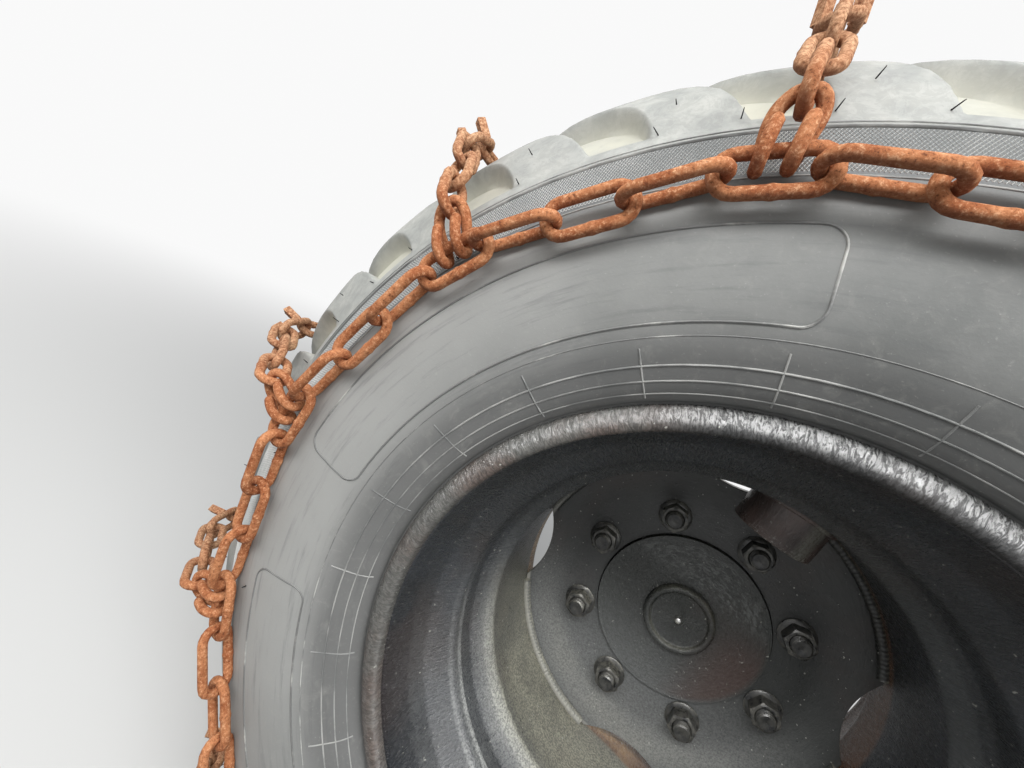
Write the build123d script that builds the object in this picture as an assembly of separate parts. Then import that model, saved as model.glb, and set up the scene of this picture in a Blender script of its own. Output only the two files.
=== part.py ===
from build123d import *
from math import cos, pi, radians, sin, sqrt, tan, tau
import os

# Forestry trailer wheel on its flanged stub axle, with a ladder chain round the tyre.
# Millimetres. +Y runs along the axle toward the trailer, +Z is up, and the origin is the
# centre of the mounting flange's inboard face. A profile is a list of (y, radius) points.
# Angles round the axle run from +X toward +Z.

# Places along the axle
DISC_SEAT_Y = -220.0          # where the wheel disc seats on the hub flange
DISC_THICKNESS = 14.0
RIM_DEPTH_TO_DISC = 292.0     # from the rim's outer plane back to the disc's front
RIM_WIDTH = 432.0             # over both flanges
DISC_FRONT_Y = DISC_SEAT_Y - DISC_THICKNESS
RIM_OUTER_Y = DISC_FRONT_Y - RIM_DEPTH_TO_DISC
RIM_MID_Y = RIM_OUTER_Y + RIM_WIDTH / 2

# Stub axle
FLANGE_RADIUS = 140.0
FLANGE_THICKNESS = 20.0
FLANGE_PCD = 225.0
FLANGE_HOLE_COUNT = 8
FLANGE_HOLE_RADIUS = 10.5
BEAM_SIDE = 90.0
BEAM_CORNER = 8.0
BEAM_END_Y = -70.0
COLLAR_RADIUS = 52.0
COLLAR_END_Y = -84.0
SPINDLE_RADIUS = 37.5
SPINDLE_NOSE_GAP = 12.0       # from the spindle's nose to the hub cap
SEAL_RADIUS = 78.0
SEAL_THICKNESS = 4.0
SEAL_CLEARANCE = 0.1
GUSSET_THICKNESS = 12.0
GUSSET_FOOT = 44.0
GUSSET_HEIGHT = 58.0
GUSSET_NOSE = 10.0

# Hub and its cap
HUB_RUNNING_CLEARANCE = 0.05
HUB_FLANGE_RADIUS = 168.0
HUB_FLANGE_THICKNESS = 24.0
HUB_BARREL_RADIUS = 104.0
HUB_BACK_RADIUS = 86.0
HUB_BACK_GAP = 2.0            # from the hub's back to the seal
SPIGOT_RADIUS = 110.3
SPIGOT_PROUD = 6.0            # of the hub's face beyond the disc
CAP_RADIUS = 46.0
CAP_CLEARANCE = 0.2
CAP_SEAT_DEPTH = 16.0
CAP_COLLAR_HEIGHT = 10.0
CAP_COLLAR_WALL = 9.0
CAP_COLLAR_ROUND = 3.0
CAP_RECESS = 5.0
NIPPLE_RADIUS = 4.0
NIPPLE_HEIGHT = 4.0

# Studs and nuts
STUD_COUNT = 8
STUD_PCD = 275.0
STUD_FIRST_ANGLE = 35.4
STUD_RADIUS = 11.0
STUD_HEAD_RADIUS = 17.0
STUD_HEAD_HEIGHT = 8.0
STUD_TIP = 30.0               # beyond the disc's front
STUD_HOLE_CLEARANCE = 0.2
DISC_HOLE_CLEARANCE = 2.0
NUT_ACROSS_FLATS = 32.0
NUT_HEIGHT = 18.0
NUT_COLLAR_RADIUS = 22.0
NUT_COLLAR_HEIGHT = 4.0

# Rim
RIM_WALL = 8.0
RIM_LIP_RADIUS = 298.5
RIM_LIP_HEIGHT = 21.5         # from the lip's edge in to the barrel's skin
RIM_LIP_THICKNESS = 10.0
RIM_LIP_ROUND = 4.0
WELL_DROP = 56.0              # from the skin behind the lips in to the well
SEAT_EDGE_RADIUS = RIM_LIP_RADIUS - RIM_LIP_HEIGHT
WELL_RADIUS = SEAT_EDGE_RADIUS - WELL_DROP
# Inner skin of the barrel, columns: depth behind the rim's outer plane, drop from the lips' skin
BARREL_STEPS = (
    (0.0, 0.0),
    (20.0, 0.0),
    (67.0, 14.0),
    (98.0, 36.0),
    (128.0, 38.0),
    (158.0, WELL_DROP),
    (RIM_WIDTH - 122.0, WELL_DROP),
    (RIM_WIDTH - 67.0, 14.0),
    (RIM_WIDTH - 20.0, 0.0),
    (RIM_WIDTH, 0.0),
)

# Disc
DISC_BORE_CLEARANCE = 0.5
DISC_LAND = 16.0              # raised land between the disc's cone and the well
DISC_CONE_RISE = 12.0
DISC_EDGE_GAP = 0.3
WELD_LEG = 12.0
SCALLOP_COUNT = 4
SCALLOP_FIRST_ANGLE = 12.5
SCALLOP_RADIUS = 108.0
SCALLOP_REACH = 23.0          # from the well in to the bottom of a scallop

# Valve and its guard pipe, straight up from the axle
GUARD_RADIUS = 42.5
GUARD_WALL = 5.5
GUARD_LENGTH = 49.0
GUARD_TO_DISC = 70.0          # from its centre line back to the disc's flat
VALVE_BASE_RADIUS = 8.0
VALVE_BASE_LENGTH = 15.0
VALVE_STEM_RADIUS = 4.5
VALVE_LENGTH = 31.0

# Tyre, its casing a ring of flats with one lug of each side on every flat
LUG_COUNT = 27
LUG_FIRST_ANGLE = 136.7       # of a lug's middle
TYRE_HALF_WIDTH = 250.0
TREAD_RADIUS = 586.0
TREAD_DEPTH = 26.0
TREAD_EDGE_HALF_WIDTH = 150.0
TREAD_EDGE_DROP = 3.0
SHOULDER_HALF_WIDTH = 212.0
SHOULDER_DROP = 80.0          # from the tread in to the shoulder's edge
BELLY_OUTER_DROP = 136.0      # from the tread in to where the sidewall is widest
BELLY_INNER_RISE = 86.5       # from the rim's lip out to where it is widest
BEAD_RISE = 5.5               # from the rim's lip out to the bead's outer edge
BEAD_GAP = 0.6
BEAD_HEEL = 9.4               # width of the bead's step at the rim's flange
LUG_FOOT_WIDTH = 78.0
LUG_TOP_WIDTH = 46.0
LUG_SINK = 12.0               # into the casing below the tread's floor
LUG_MIDDLE_GAP = 22.0         # from a lug's inner end to the tread's middle
LUG_LEAN = 12.0               # degrees that a lug slants as it crosses the tread

# Side chains, one ring of links on each sidewall
CHAIN_BAR = 9.0
LINK_GAP = 0.3
SIDE_LINK_COUNT = 50
SIDE_LINK_WIDTH = 34.0
SIDE_LINK_TILT = 45.0
SIDE_CHAIN_DROP = 146.0       # from the tread in to the links' centres
SIDE_FIRST_ANGLE = 108.9
SIDE_CHAIN_RADIUS = TREAD_RADIUS - SIDE_CHAIN_DROP

# Cross chains, hooked to the side chains and laid over the tread
CROSS_COUNT = 12
CROSS_EVERY = 4               # side links from one cross chain to the next
CROSS_FIRST_LINK = 1
CROSS_WIDTH = 32.0
CROSS_HEIGHT = 15.5           # of the chain's centre line above the lugs
CROSS_EDGE_HALF_WIDTH = 176.0
CROSS_FOOT_RISE = 40.0        # from the side links' centres out to the cross chain's foot
EAR_EDGE_GAP = 6.0            # from the run's corner to the outer ears
EAR_HEIGHT = 22.0
EAR_SPACING = 24.0            # between the centres of a pair
HOOK_WIDTH = 30.0
HOOK_TAIL = 24.0              # length of the bent-up end


def turned(profile):
    """Solid turned about the axle from a closed list of (y, radius) points."""
    return revolve(make_face(Plane.YZ * Polyline(*profile, close=True)), Axis.Y)


def along_axle(sketch, start, end):
    """Sketch extruded along the axle from y = start to y = end."""
    face = Plane(origin=(0, start, 0), x_dir=(1, 0, 0), z_dir=(0, 1, 0)) * sketch
    return extrude(face, end - start)


def at_angle(angle):
    """Turn about the axle that takes what is built at the top to an angle."""
    return Rot(0, 90 - angle, 0)


def spaced(shape, count, first_angle):
    """Copies of a shape built at the top, evenly spaced round the axle."""
    return [at_angle(first_angle + 360 * i / count) * shape for i in range(count)]


def save(node, solids):
    """Writes one node, a solid or a list of solids that do not touch."""
    shape = Compound(children=solids) if isinstance(solids, list) else solids
    export_step(shape, "parts/" + node + ".step")


# Stub axle

def axle_flange():
    plate = along_axle(Circle(FLANGE_RADIUS), -FLANGE_THICKNESS, 0)
    hole = Pos(0, 0, FLANGE_PCD / 2) * along_axle(
        Circle(FLANGE_HOLE_RADIUS), -FLANGE_THICKNESS, 0
    )
    first = 180 / FLANGE_HOLE_COUNT
    return plate - spaced(hole, FLANGE_HOLE_COUNT, first)


def spindle_nose_y():
    return DISC_FRONT_Y - SPIGOT_PROUD + CAP_SEAT_DEPTH + SPINDLE_NOSE_GAP


def stub_axle():
    section = RectangleRounded(BEAM_SIDE, BEAM_SIDE, BEAM_CORNER)
    beam = along_axle(section, BEAM_END_Y, -FLANGE_THICKNESS)
    collar = along_axle(Circle(COLLAR_RADIUS), COLLAR_END_Y, BEAM_END_Y)
    spindle = along_axle(Circle(SPINDLE_RADIUS), spindle_nose_y(), COLLAR_END_Y)
    return beam + collar + spindle


def axle_seal():
    inner = SPINDLE_RADIUS + SEAL_CLEARANCE
    ring = Circle(SEAL_RADIUS) - Circle(inner)
    return along_axle(ring, COLLAR_END_Y - SEAL_THICKNESS, COLLAR_END_Y)


def flange_gussets():
    root = -FLANGE_THICKNESS
    base = BEAM_SIDE / 2
    outline = Polyline(
        (root, base),
        (root, base + GUSSET_HEIGHT),
        (root - GUSSET_NOSE, base + GUSSET_HEIGHT),
        (root - GUSSET_FOOT, base + GUSSET_NOSE),
        (root - GUSSET_FOOT, base),
        close=True,
    )
    plate = extrude(make_face(Plane.YZ * outline), GUSSET_THICKNESS / 2, both=True)
    return spaced(plate, 4, 0)


# Hub

def hub_face_y():
    return DISC_FRONT_Y - SPIGOT_PROUD


def hub_back_y():
    return COLLAR_END_Y - SEAL_THICKNESS - HUB_BACK_GAP


def hub_shell():
    bore = SPINDLE_RADIUS + HUB_RUNNING_CLEARANCE
    seat = CAP_RADIUS + CAP_CLEARANCE
    flange_back = DISC_SEAT_Y + HUB_FLANGE_THICKNESS
    body = turned([
        (hub_face_y(), seat),
        (hub_face_y(), SPIGOT_RADIUS),
        (DISC_SEAT_Y, SPIGOT_RADIUS),
        (DISC_SEAT_Y, HUB_FLANGE_RADIUS),
        (flange_back, HUB_FLANGE_RADIUS),
        (flange_back, HUB_BARREL_RADIUS),
        (hub_back_y(), HUB_BACK_RADIUS),
        (hub_back_y(), bore),
        (hub_face_y() + CAP_SEAT_DEPTH, bore),
        (hub_face_y() + CAP_SEAT_DEPTH, seat),
    ])
    hole = along_axle(Circle(STUD_RADIUS + STUD_HOLE_CLEARANCE), DISC_SEAT_Y, flange_back)
    return body - spaced(Pos(0, 0, STUD_PCD / 2) * hole, STUD_COUNT, STUD_FIRST_ANGLE)


def hub_cap():
    back = hub_face_y() + CAP_SEAT_DEPTH
    front = hub_face_y() - CAP_COLLAR_HEIGHT
    floor = front + CAP_RECESS
    inner = CAP_RADIUS - CAP_COLLAR_WALL
    return turned([
        (back, 0),
        (back, CAP_RADIUS),
        (front + CAP_COLLAR_ROUND, CAP_RADIUS),
        (front, CAP_RADIUS - CAP_COLLAR_ROUND),
        (front, inner),
        (floor, inner - CAP_COLLAR_ROUND),
        (floor, NIPPLE_RADIUS),
        (floor - NIPPLE_HEIGHT, NIPPLE_RADIUS / 2),
        (floor - NIPPLE_HEIGHT, 0),
    ])


def wheel_studs():
    head_y = DISC_SEAT_Y + HUB_FLANGE_THICKNESS
    shank = along_axle(Circle(STUD_RADIUS), DISC_FRONT_Y - STUD_TIP, head_y)
    head = along_axle(Circle(STUD_HEAD_RADIUS), head_y, head_y + STUD_HEAD_HEIGHT)
    return spaced(Pos(0, 0, STUD_PCD / 2) * (shank + head), STUD_COUNT, STUD_FIRST_ANGLE)


def wheel_nuts():
    collar_y = DISC_FRONT_Y - NUT_COLLAR_HEIGHT
    flat = RegularPolygon(NUT_ACROSS_FLATS / 2, 6, major_radius=False)
    nut = along_axle(Circle(NUT_COLLAR_RADIUS), collar_y, DISC_FRONT_Y)
    nut += along_axle(flat, collar_y - NUT_HEIGHT, collar_y)
    nut -= along_axle(
        Circle(STUD_RADIUS + STUD_HOLE_CLEARANCE), collar_y - NUT_HEIGHT, DISC_FRONT_Y
    )
    return spaced(Pos(0, 0, STUD_PCD / 2) * nut, STUD_COUNT, STUD_FIRST_ANGLE)


# Rim and disc

def rim_barrel():
    def lip(side):
        """Edge of a lip, from its outer face to its back, by depth from its own end."""
        return [
            (side(0), RIM_LIP_RADIUS - RIM_LIP_ROUND),
            (side(RIM_LIP_ROUND), RIM_LIP_RADIUS),
            (side(RIM_LIP_THICKNESS), RIM_LIP_RADIUS),
            (side(RIM_LIP_THICKNESS), SEAT_EDGE_RADIUS + RIM_WALL),
        ]

    front = lip(lambda depth: RIM_OUTER_Y + depth)
    back = lip(lambda depth: RIM_OUTER_Y + RIM_WIDTH - depth)
    inner_skin = [(RIM_OUTER_Y + depth, SEAT_EDGE_RADIUS - drop) for depth, drop in BARREL_STEPS]
    outer_skin = [(y, radius + RIM_WALL) for y, radius in inner_skin[1:-1]]
    return turned(front + outer_skin + back[::-1] + inner_skin[::-1])


def wheel_disc():
    bore = SPIGOT_RADIUS + DISC_BORE_CLEARANCE
    edge = WELL_RADIUS - DISC_EDGE_GAP
    raised = DISC_FRONT_Y - DISC_CONE_RISE
    cone = WELL_RADIUS - DISC_LAND
    bend = DISC_THICKNESS / 3
    body = turned([
        (DISC_FRONT_Y, bore),
        (DISC_FRONT_Y, HUB_FLANGE_RADIUS),
        (raised, cone),
        (raised - WELD_LEG, edge),
        (raised + DISC_THICKNESS, edge),
        (raised + DISC_THICKNESS, cone + bend),
        (DISC_SEAT_Y, HUB_FLANGE_RADIUS + bend),
        (DISC_SEAT_Y, bore),
    ])
    hole = along_axle(
        Circle(STUD_RADIUS + DISC_HOLE_CLEARANCE), DISC_FRONT_Y, DISC_SEAT_Y
    )
    body -= spaced(Pos(0, 0, STUD_PCD / 2) * hole, STUD_COUNT, STUD_FIRST_ANGLE)
    scallop = along_axle(Circle(SCALLOP_RADIUS), raised - WELD_LEG, DISC_SEAT_Y)
    centre = WELL_RADIUS - SCALLOP_REACH + SCALLOP_RADIUS
    return body - spaced(Pos(0, 0, centre) * scallop, SCALLOP_COUNT, SCALLOP_FIRST_ANGLE)


def guard_y():
    return DISC_FRONT_Y - GUARD_TO_DISC


def valve_guard():
    seat_radius = WELL_RADIUS - DISC_EDGE_GAP
    low = WELL_RADIUS - GUARD_LENGTH
    ring = Circle(GUARD_RADIUS) - Circle(GUARD_RADIUS - GUARD_WALL)
    pipe = Pos(0, guard_y(), low) * extrude(ring, GUARD_LENGTH + GUARD_WALL)
    return pipe & along_axle(Circle(seat_radius), RIM_OUTER_Y, DISC_SEAT_Y)


def valve_stem():
    top = WELL_RADIUS - DISC_EDGE_GAP
    base = Pos(0, 0, top - VALVE_BASE_LENGTH) * extrude(
        Circle(VALVE_BASE_RADIUS), VALVE_BASE_LENGTH
    )
    stem = Pos(0, 0, top - VALVE_LENGTH) * extrude(Circle(VALVE_STEM_RADIUS), VALVE_LENGTH)
    return Pos(0, guard_y(), 0) * (base + stem)


# Tyre

def stitched(rings):
    """Solid of flat faces between closed rings of points, the last ring joined to the first."""
    def neighbours(items):
        return zip(items, items[1:] + items[:1])

    faces = []
    for near, far in neighbours(rings):
        for (a, b), (c, d) in zip(neighbours(near), neighbours(far)):
            faces.append(Face(Wire.make_polygon([a, b, d, c])))
    return Solid(Shell(faces))


def at_flats(radius):
    """Radius of the casing's flats where its corners have the given radius."""
    return radius * cos(pi / LUG_COUNT)


def casing():
    lip_gap = RIM_LIP_RADIUS + BEAD_GAP
    seat = SEAT_EDGE_RADIUS + RIM_WALL + BEAD_GAP
    flange = RIM_WIDTH / 2 - RIM_LIP_THICKNESS - BEAD_GAP
    # Half widths and radii of the corners, the bore's flats outside the rim's round seats
    half = [
        (flange - BEAD_HEEL, seat / cos(pi / LUG_COUNT)),
        (flange, lip_gap / cos(pi / LUG_COUNT)),
        (RIM_WIDTH / 2, RIM_LIP_RADIUS + BEAD_RISE),
        (TYRE_HALF_WIDTH, RIM_LIP_RADIUS + BELLY_INNER_RISE),
        (TYRE_HALF_WIDTH, TREAD_RADIUS - BELLY_OUTER_DROP),
        (SHOULDER_HALF_WIDTH, TREAD_RADIUS - SHOULDER_DROP),
        (TREAD_EDGE_HALF_WIDTH, TREAD_RADIUS - TREAD_DEPTH),
    ]
    first = radians(LUG_FIRST_ANGLE + 180 / LUG_COUNT)
    angles = [first + tau * i / LUG_COUNT for i in range(LUG_COUNT)]
    return stitched([
        [Vector(radius * cos(a), RIM_MID_Y + y, radius * sin(a)) for a in angles]
        for y, radius in half + [(-y, radius) for y, radius in half[::-1]]
    ])


def tyre_lug():
    """One outer lug at the top, about the tyre's middle, its foot on the shoulder's edge."""
    foot = at_flats(TREAD_RADIUS - SHOULDER_DROP)
    floor = at_flats(TREAD_RADIUS - TREAD_DEPTH) - LUG_SINK
    edge = TREAD_RADIUS - TREAD_EDGE_DROP
    side = Polyline(
        (-SHOULDER_HALF_WIDTH, foot),
        (-TREAD_EDGE_HALF_WIDTH, edge),
        (-LUG_MIDDLE_GAP, TREAD_RADIUS),
        (-LUG_MIDDLE_GAP, floor),
        (-TREAD_EDGE_HALF_WIDTH, floor),
        (LUG_SINK - SHOULDER_HALF_WIDTH, foot - LUG_SINK),
        close=True,
    )
    sides = extrude(make_face(Plane.YZ * side), TREAD_RADIUS, both=True)
    low = foot - LUG_SINK
    end = Polyline(
        (-LUG_FOOT_WIDTH / 2, low),
        (LUG_FOOT_WIDTH / 2, low),
        (LUG_TOP_WIDTH / 2, TREAD_RADIUS),
        (-LUG_TOP_WIDTH / 2, TREAD_RADIUS),
        close=True,
    )
    slant = Vector(-tan(radians(LUG_LEAN)), 1, 0)
    start = slant * (LUG_MIDDLE_GAP - SHOULDER_HALF_WIDTH) / 2
    face = Plane(origin=(start.X, -SHOULDER_HALF_WIDTH, 0), x_dir=(1, 0, 0), z_dir=(0, -1, 0))
    bar = extrude(make_face(face * end), SHOULDER_HALF_WIDTH * slant.length, dir=slant)
    return sides & bar


def tyre():
    outer = Pos(0, RIM_MID_Y, 0) * tyre_lug()
    inner = Pos(0, RIM_MID_Y, 0) * mirror(tyre_lug(), Plane.XZ)
    lugs = spaced(outer, LUG_COUNT, LUG_FIRST_ANGLE)
    return casing() + lugs + spaced(inner, LUG_COUNT, LUG_FIRST_ANGLE)


# Chains

def chain_link(pitch, width):
    """Link of three-sided bar lying flat, long along X, so that its neighbours just clear it."""
    bar_radius = CHAIN_BAR / sqrt(3)
    middle = (pitch + LINK_GAP + bar_radius) / 2, (width - CHAIN_BAR) / 2

    def corners(growth, height):
        x, y = middle[0] + growth, middle[1] + growth
        return [Vector(x * i, y * j, height) for i, j in ((1, 1), (-1, 1), (-1, -1), (1, -1))]

    flat = -bar_radius / 2
    return stitched([
        corners(flat, CHAIN_BAR / 2),
        corners(flat, -CHAIN_BAR / 2),
        corners(bar_radius, 0),
    ])


def side_chain_half_width():
    """Half width over the links' centres where the tilted links lie on the sidewall."""
    reach = (SIDE_LINK_WIDTH - CHAIN_BAR) / 2 + CHAIN_BAR / sqrt(3)
    return TYRE_HALF_WIDTH + reach * sin(radians(SIDE_LINK_TILT)) + LINK_GAP


def side_chain(side):
    """Ring of links on one sidewall, side -1 outboard and 1 inboard."""
    pitch = 2 * SIDE_CHAIN_RADIUS * sin(pi / SIDE_LINK_COUNT)
    offset = side * side_chain_half_width()
    links = []
    for i in range(SIDE_LINK_COUNT):
        hooked = (i - CROSS_FIRST_LINK) % 2 == 0
        tilt = side * (SIDE_LINK_TILT if hooked else -SIDE_LINK_TILT)
        link = Pos(0, RIM_MID_Y + offset, SIDE_CHAIN_RADIUS) * Rot(tilt, 0, 0) * chain_link(
            pitch, SIDE_LINK_WIDTH
        )
        links.append(at_angle(side_link_angle(i)) * link)
    return links


def side_link_angle(i):
    return SIDE_FIRST_ANGLE + 360 * i / SIDE_LINK_COUNT


def cross_angles():
    return [
        side_link_angle(CROSS_FIRST_LINK + CROSS_EVERY * i) for i in range(CROSS_COUNT)
    ]


def hook_middle():
    """Half width and radius of the side link's bar that a hook goes round."""
    reach = (SIDE_LINK_WIDTH - CHAIN_BAR) / 2 * cos(radians(SIDE_LINK_TILT))
    return side_chain_half_width() + reach, SIDE_CHAIN_RADIUS + reach


def hook_bar_reach():
    """How far the tilted side link's bar reaches in and inboard from its middle."""
    return CHAIN_BAR / sqrt(3) * cos(radians(SIDE_LINK_TILT - 30))


def hook_drop():
    """From the middle of the bar to the middle of the hook on its inboard and inner side."""
    return hook_bar_reach() + LINK_GAP + CHAIN_BAR / 2


def cross_foot():
    """Half width and radius of a cross chain's foot, in line with the hook's leg."""
    return hook_middle()[0] - hook_drop(), SIDE_CHAIN_RADIUS + CROSS_FOOT_RISE


def bent_bar(points, width):
    """Flat bar of the chain's thickness bent through (y, radius) points at the top."""
    line = Plane.YZ * Polyline(*points)
    start = Plane(origin=line @ 0, x_dir=(1, 0, 0), z_dir=line % 0)
    return sweep(start * Rectangle(width, CHAIN_BAR), path=line, transition=Transition.RIGHT)


def cross_run():
    """One cross chain at the top, drawn as a plain run from hook to hook."""
    foot_y, foot_radius = cross_foot()
    top = TREAD_RADIUS + CROSS_HEIGHT
    slope = (top - foot_radius) / (foot_y - CROSS_EDGE_HALF_WIDTH)
    below = foot_y + CHAIN_BAR / slope, foot_radius - CHAIN_BAR
    half = [below, (CROSS_EDGE_HALF_WIDTH, top)]
    points = [(-y, radius) for y, radius in half] + half[::-1]
    run = bent_bar([(RIM_MID_Y + y, radius) for y, radius in points], CROSS_WIDTH)
    block = Box(CROSS_WIDTH, 4 * foot_y, 2 * TREAD_RADIUS, align=(Align.CENTER, Align.CENTER, Align.MIN))
    return run & Pos(0, RIM_MID_Y, foot_radius + LINK_GAP) * block


def chain_hook(side):
    """Hook at the top that goes behind a side link's bar, under it and up in front."""
    bar_y, bar_radius = hook_middle()
    drop = hook_drop()
    foot_y, foot_radius = cross_foot()
    points = [
        (foot_y, foot_radius),
        (foot_y, bar_radius - drop),
        (bar_y + drop, bar_radius - drop),
        (bar_y + drop, bar_radius - drop + HOOK_TAIL),
    ]
    return bent_bar([(RIM_MID_Y + side * y, radius) for y, radius in points], HOOK_WIDTH)


def stud_ears():
    """Ears of three-sided bar that stand out of the cross chains in pairs."""
    low = TREAD_RADIUS + CROSS_HEIGHT + CHAIN_BAR / 2 + LINK_GAP
    edge = CROSS_EDGE_HALF_WIDTH - EAR_EDGE_GAP
    ear = extrude(RegularPolygon(CHAIN_BAR / sqrt(3), 3), EAR_HEIGHT)
    pairs = [
        Pos(spread, RIM_MID_Y + y, low) * ear
        for y in (-edge, 0, edge)
        for spread in (-EAR_SPACING / 2, EAR_SPACING / 2)
    ]
    return [at_angle(angle) * ear for angle in cross_angles() for ear in pairs]


os.makedirs("parts", exist_ok=True)
save("axle_flange", axle_flange())
save("stub_axle", stub_axle())
save("axle_seal", axle_seal())
save("flange_gussets", flange_gussets())
save("hub_shell", hub_shell())
save("hub_cap", hub_cap())
save("wheel_studs", wheel_studs())
save("wheel_nuts", wheel_nuts())
save("rim_barrel", rim_barrel())
save("wheel_disc", wheel_disc())
save("valve_guard", valve_guard())
save("valve_stem", valve_stem())
save("tyre", tyre())
save("outer_side_chain", side_chain(-1))
save("inner_side_chain", side_chain(1))
save("cross_chains", [at_angle(angle) * cross_run() for angle in cross_angles()])
save("outer_hooks", [at_angle(angle) * chain_hook(-1) for angle in cross_angles()])
save("inner_hooks", [at_angle(angle) * chain_hook(1) for angle in cross_angles()])
save("stud_ears", stud_ears())
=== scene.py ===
import math
import random

import bmesh
import bpy
import numpy as np
from mathutils import Matrix, Vector

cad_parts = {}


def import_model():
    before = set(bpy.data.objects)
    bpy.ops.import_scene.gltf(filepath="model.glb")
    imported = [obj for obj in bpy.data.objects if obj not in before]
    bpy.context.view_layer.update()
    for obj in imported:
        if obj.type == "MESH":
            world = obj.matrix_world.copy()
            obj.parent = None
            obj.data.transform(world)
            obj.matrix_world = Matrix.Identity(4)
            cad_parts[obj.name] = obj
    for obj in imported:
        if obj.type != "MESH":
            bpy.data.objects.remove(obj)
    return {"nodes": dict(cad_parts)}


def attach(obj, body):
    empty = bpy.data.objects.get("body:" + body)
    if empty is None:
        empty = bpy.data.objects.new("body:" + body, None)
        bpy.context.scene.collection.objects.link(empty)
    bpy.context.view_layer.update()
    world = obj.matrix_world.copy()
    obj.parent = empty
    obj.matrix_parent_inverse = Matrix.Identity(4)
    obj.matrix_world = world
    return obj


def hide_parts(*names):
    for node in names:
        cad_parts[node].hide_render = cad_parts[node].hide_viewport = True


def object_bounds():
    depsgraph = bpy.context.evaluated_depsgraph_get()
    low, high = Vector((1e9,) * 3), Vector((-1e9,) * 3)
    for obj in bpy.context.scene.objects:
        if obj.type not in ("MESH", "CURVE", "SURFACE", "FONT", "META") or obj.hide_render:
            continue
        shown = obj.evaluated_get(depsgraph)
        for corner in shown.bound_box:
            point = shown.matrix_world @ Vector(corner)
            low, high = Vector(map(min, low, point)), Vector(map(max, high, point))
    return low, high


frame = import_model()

cad_box = [list(corner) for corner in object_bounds()]
scene = bpy.context.scene

# Millimetres to the frame's metres
MM = 0.001

# Places, sizes and angles in millimetres and degrees, most of them the part source's own
RIM_OUTER_Y = -526.0
RIM_MID_Y = -310.0
DISC_FRONT_Y = -234.0
HUB_FACE_Y = -240.0
WELL_RADIUS = 221.0
STUD_CIRCLE_RADIUS = 137.5
STUD_FIRST_ANGLE = 35.4
LUG_COUNT = 27
LUG_BASE_ANGLE = 135.0
RIM_WALL = 8.0
RIM_BORE_RADIUS = 277.0
LIP_DEPTH = 13.8
DISC_THICKNESS = 14.0
SPIGOT_BORE_RADIUS = 112.2
HUB_FLANGE_BACK_Y = -196.0
SCALLOP_RADIUS = 108.0
SCALLOP_DEPTH = 23.0
SCALLOP_FIRST_ANGLE = 12.5
NUT_FLAT_RADIUS = 16.0
NUT_TOP = 22.0
GUARD_RADIUS = 42.5
GUARD_BORE_RADIUS = 37.0
GUARD_OPEN_END = 175.0
GUARD_BEFORE_DISC = 70.0
BAR = 9.0
SIDE_LINK_COUNT = 50
SIDE_FIRST_ANGLE = 109.3
# Every other side link lies flat on the sidewall and the ones between stand on edge
FLAT_HALF_WIDTH = 262.5
EDGE_HALF_WIDTH = 265.5
# The hooks draw the side chain outward, and it hangs back between them
HOOKED_JOINT_RADIUS = 443.5
SLACK_JOINT_RADIUS = 437.5
CROSS_COUNT = 12
CROSS_LINK_COUNT = 15
# The links of each cross chain that carry a pair of ears
EAR_LINKS = (3, 7, 11)
# How far each cross chain lies over toward smaller angles on the tread, the first four as in the photo
CROSS_LEAN = (42.0, 29.0, 8.0, 12.0, 14.0, -2.0, 15.0, 8.0, -3.0, 12.0, 18.0, 10.0)
# How far each hook and the cross chain's foot in it lie over the same way
HOOK_LEAN = (13.0, 12.0, 10.0, 8.0, 9.0, 4.0, 11.0, 6.0, 3.0, 9.0, 12.0, 7.0)
HOOK_HALF_WIDTH = 261.4
HOOK_RADIUS = 455.0
# Half width and radius of a cross chain's foot in its hook, and of the bend where it meets the tread
FOOT = (261.8, 488.5)
RUN_EDGE = (176.0, 601.5)


# Mesh helpers

def linked(name, data):
    """New object in the scene."""
    made = bpy.data.objects.new(name, data)
    scene.collection.objects.link(made)
    return made


class Build:
    """Points and faces gathered from several shapes, in millimetres."""

    def __init__(self):
        self.points = []
        self.faces = []
        self.count = 0

    def add(self, points, faces):
        self.points.append(np.asarray(points, float))
        self.faces.extend([tuple(int(i) + self.count for i in face) for face in faces])
        self.count += len(points)

    def piece(self, name, material, sharp, node=None):
        """Object of the wheel with what was gathered, in place of a node where one is named."""
        mesh = bpy.data.meshes.new(name)
        mesh.from_pydata((np.concatenate(self.points) * MM).tolist(), [], self.faces)
        mesh.validate()
        clean = bmesh.new()
        clean.from_mesh(mesh)
        bmesh.ops.recalc_face_normals(clean, faces=clean.faces)
        clean.to_mesh(mesh)
        clean.free()
        mesh.shade_smooth()
        mesh.set_sharp_from_angle(angle=math.radians(sharp))
        made = linked(name, mesh)
        mesh.materials.append(material)
        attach(made, "wheel")
        if node:
            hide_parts(node)
        return made


def grid_faces(rows, columns, wrap_rows=False, wrap_columns=True):
    """Quads between rows of points, all rows having the same number of columns."""
    faces = []
    for j in range(rows if wrap_rows else rows - 1):
        below, above = j * columns, ((j + 1) % rows) * columns
        for i in range(columns if wrap_columns else columns - 1):
            k = (i + 1) % columns
            faces.append((below + i, below + k, above + k, above + i))
    return faces


def round_axle(degrees, radius, y=0.0):
    """Point or points at angles and radii round the axle."""
    a = np.radians(degrees)
    return np.stack([radius * np.cos(a), y * np.ones_like(a), radius * np.sin(a)], axis=-1)


def lathe(profile, segments, closed=True):
    """Ring turned about the axle from (y, radius) points."""
    angles = np.arange(segments) * 360.0 / segments
    rows = [round_axle(angles, r, y) for y, r in profile]
    return np.concatenate(rows), grid_faces(len(profile), segments, wrap_rows=closed)


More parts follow.
